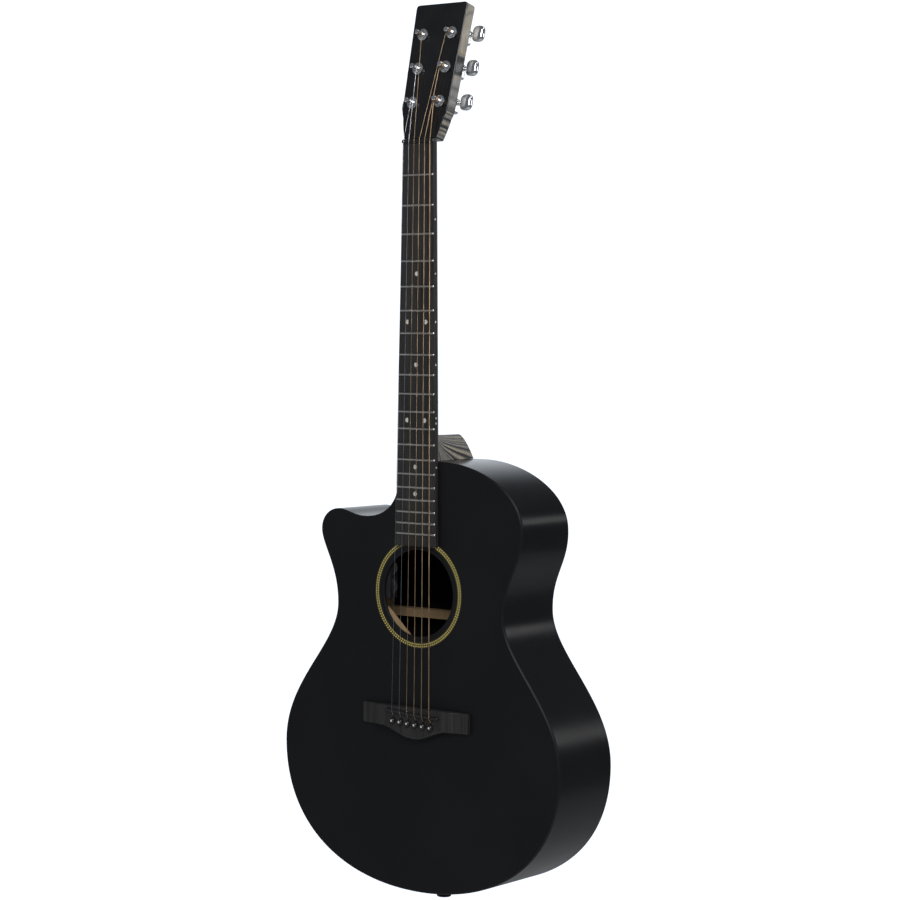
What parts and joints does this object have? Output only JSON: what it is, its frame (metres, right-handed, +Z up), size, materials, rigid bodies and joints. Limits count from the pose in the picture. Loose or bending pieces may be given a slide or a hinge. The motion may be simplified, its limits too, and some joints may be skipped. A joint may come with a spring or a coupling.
{
  "type": "acoustic guitar",
  "caption": "Black cutaway steel-string acoustic guitar with a domed back, tilted headstock, geared tuning machines, pinned bridge and soundhole controls.",
  "frame": {"origin": "on the centreline at the front edge of the nut, on the front plane of the fingerboard, where a wall hanger closes round the neck under the headstock flare", "axes": "+Z up the neck towards the headstock, -Y out of the front of the guitar, +X towards the bass side"},
  "size_m": [0.399, 0.12, 1.0267],
  "materials": {
    "top_laminate": "satin near-black pressure laminate",
    "shell_laminate": "smooth semi-gloss black pressure laminate",
    "rosette_inlay": "gold and black rope-pattern inlay",
    "spruce": "bare spruce",
    "black_composite": "black composite with faint grain",
    "black_plastic": "polished black",
    "control_plastic": "moulded black",
    "birch_laminate": "laminated grey and tan hardwood, satin",
    "headstock_gloss": "glossy black facing",
    "chrome": "polished",
    "rod_steel": "plain steel",
    "plain_steel": "drawn wire",
    "bronze_wrap": "bronze winding"
  },
  "bodies": {
    "root": {"soundboard": "top_laminate", "back": "shell_laminate", "sides": "shell_laminate", "rosette": "rosette_inlay", "neck_block": "spruce", "tail_block": "spruce", "top_lining": "spruce", "back_lining": "spruce", "x_brace_1": "spruce", "x_brace_2": "spruce", "transverse_brace": "spruce", "tone_bar_1": "spruce", "tone_bar_2": "spruce", "bridge_plate": "spruce", "back_brace_1": "spruce", "back_brace_2": "spruce", "back_brace_3": "spruce", "back_brace_4": "spruce", "bridge": "black_composite", "saddle": "black_plastic", "end_pin": "black_plastic", "control_module": "control_plastic", "neck": "birch_laminate", "fingerboard": "black_composite", "nut": "black_plastic", "truss_rod": "rod_steel", "headstock_faceplate": "headstock_gloss", "tuner_housing_1": "chrome", "tuner_housing_2": "chrome", "tuner_housing_3": "chrome", "tuner_housing_4": "chrome", "tuner_housing_5": "chrome", "tuner_housing_6": "chrome", "string_1": "plain_steel", "string_2": "plain_steel", "string_3": "bronze_wrap", "string_4": "bronze_wrap", "string_5": "bronze_wrap", "string_6": "bronze_wrap"},
    "pin_1": {"bridge_pin_1": "black_plastic"},
    "pin_2": {"bridge_pin_2": "black_plastic"},
    "pin_3": {"bridge_pin_3": "black_plastic"},
    "pin_4": {"bridge_pin_4": "black_plastic"},
    "pin_5": {"bridge_pin_5": "black_plastic"},
    "pin_6": {"bridge_pin_6": "black_plastic"},
    "post_1": {"tuner_post_1": "chrome"},
    "post_2": {"tuner_post_2": "chrome"},
    "post_3": {"tuner_post_3": "chrome"},
    "post_4": {"tuner_post_4": "chrome"},
    "post_5": {"tuner_post_5": "chrome"},
    "post_6": {"tuner_post_6": "chrome"},
    "key_1": {"tuner_key_1": "chrome"},
    "key_2": {"tuner_key_2": "chrome"},
    "key_3": {"tuner_key_3": "chrome"},
    "key_4": {"tuner_key_4": "chrome"},
    "key_5": {"tuner_key_5": "chrome"},
    "key_6": {"tuner_key_6": "chrome"},
    "rod_nut": {"truss_rod_nut": "rod_steel"},
    "volume": {"volume_wheel": "control_plastic"},
    "tone": {"tone_wheel": "control_plastic"}
  },
  "joints": [
    {"name": "tuner_key_1_turn", "type": "hinge", "parent": "root", "child": "key_1", "pos_m": [-0.0419, 0.03519, 0.04546], "axis": [1, 0, 0], "continuous": true},
    {"name": "tuner_key_2_turn", "type": "hinge", "parent": "root", "child": "key_2", "pos_m": [-0.0423, 0.04513, 0.08472], "axis": [1, 0, 0], "continuous": true},
    {"name": "tuner_key_3_turn", "type": "hinge", "parent": "root", "child": "key_3", "pos_m": [-0.0433, 0.05506, 0.12399], "axis": [1, 0, 0], "continuous": true},
    {"name": "tuner_key_4_turn", "type": "hinge", "parent": "root", "child": "key_4", "pos_m": [0.0433, 0.05506, 0.12399], "axis": [1, 0, 0], "continuous": true},
    {"name": "tuner_key_5_turn", "type": "hinge", "parent": "root", "child": "key_5", "pos_m": [0.0423, 0.04513, 0.08472], "axis": [1, 0, 0], "continuous": true},
    {"name": "tuner_key_6_turn", "type": "hinge", "parent": "root", "child": "key_6", "pos_m": [0.0419, 0.03519, 0.04546], "axis": [1, 0, 0], "continuous": true},
    {"name": "tuner_post_1_turn", "type": "hinge", "parent": "root", "child": "post_1", "pos_m": [-0.0194, 0.0218, 0.04472], "axis": [0, 0.9694, -0.2453], "continuous": true},
    {"name": "tuner_post_2_turn", "type": "hinge", "parent": "root", "child": "post_2", "pos_m": [-0.0198, 0.03174, 0.08399], "axis": [0, 0.9694, -0.2453], "continuous": true},
    {"name": "tuner_post_3_turn", "type": "hinge", "parent": "root", "child": "post_3", "pos_m": [-0.0208, 0.04167, 0.12325], "axis": [0, 0.9694, -0.2453], "continuous": true},
    {"name": "tuner_post_4_turn", "type": "hinge", "parent": "root", "child": "post_4", "pos_m": [0.0208, 0.04167, 0.12325], "axis": [0, 0.9694, -0.2453], "continuous": true},
    {"name": "tuner_post_5_turn", "type": "hinge", "parent": "root", "child": "post_5", "pos_m": [0.0198, 0.03174, 0.08399], "axis": [0, 0.9694, -0.2453], "continuous": true},
    {"name": "tuner_post_6_turn", "type": "hinge", "parent": "root", "child": "post_6", "pos_m": [0.0194, 0.0218, 0.04472], "axis": [0, 0.9694, -0.2453], "continuous": true},
    {"name": "bridge_pin_1_pull", "type": "slide", "parent": "root", "child": "pin_1", "axis": [0, -1, 0], "range_m": [0, 0.024]},
    {"name": "bridge_pin_2_pull", "type": "slide", "parent": "root", "child": "pin_2", "axis": [0, -1, 0], "range_m": [0, 0.024]},
    {"name": "bridge_pin_3_pull", "type": "slide", "parent": "root", "child": "pin_3", "axis": [0, -1, 0], "range_m": [0, 0.024]},
    {"name": "bridge_pin_4_pull", "type": "slide", "parent": "root", "child": "pin_4", "axis": [0, -1, 0], "range_m": [0, 0.024]},
    {"name": "bridge_pin_5_pull", "type": "slide", "parent": "root", "child": "pin_5", "axis": [0, -1, 0], "range_m": [0, 0.024]},
    {"name": "bridge_pin_6_pull", "type": "slide", "parent": "root", "child": "pin_6", "axis": [0, -1, 0], "range_m": [0, 0.024]},
    {"name": "truss_rod_nut_turn", "type": "hinge", "parent": "root", "child": "rod_nut", "pos_m": [0, 0.0135, -0.415], "axis": [0, 0, 1], "range_deg": [-360, 360]},
    {"name": "volume_wheel_turn", "type": "hinge", "parent": "root", "child": "volume", "pos_m": [-0.046, 0.015, -0.484], "axis": [0, 1, 0], "range_deg": [-135, 135]},
    {"name": "tone_wheel_turn", "type": "hinge", "parent": "root", "child": "tone", "pos_m": [-0.046, 0.015, -0.506], "axis": [0, 1, 0], "range_deg": [-135, 135]}
  ],
  "couplings": [
    {"joint": "tuner_post_1_turn", "follows": "tuner_key_1_turn", "ratio": 0.071429},
    {"joint": "tuner_post_2_turn", "follows": "tuner_key_2_turn", "ratio": 0.071429},
    {"joint": "tuner_post_3_turn", "follows": "tuner_key_3_turn", "ratio": 0.071429},
    {"joint": "tuner_post_4_turn", "follows": "tuner_key_4_turn", "ratio": 0.071429},
    {"joint": "tuner_post_5_turn", "follows": "tuner_key_5_turn", "ratio": 0.071429},
    {"joint": "tuner_post_6_turn", "follows": "tuner_key_6_turn", "ratio": 0.071429}
  ]
}
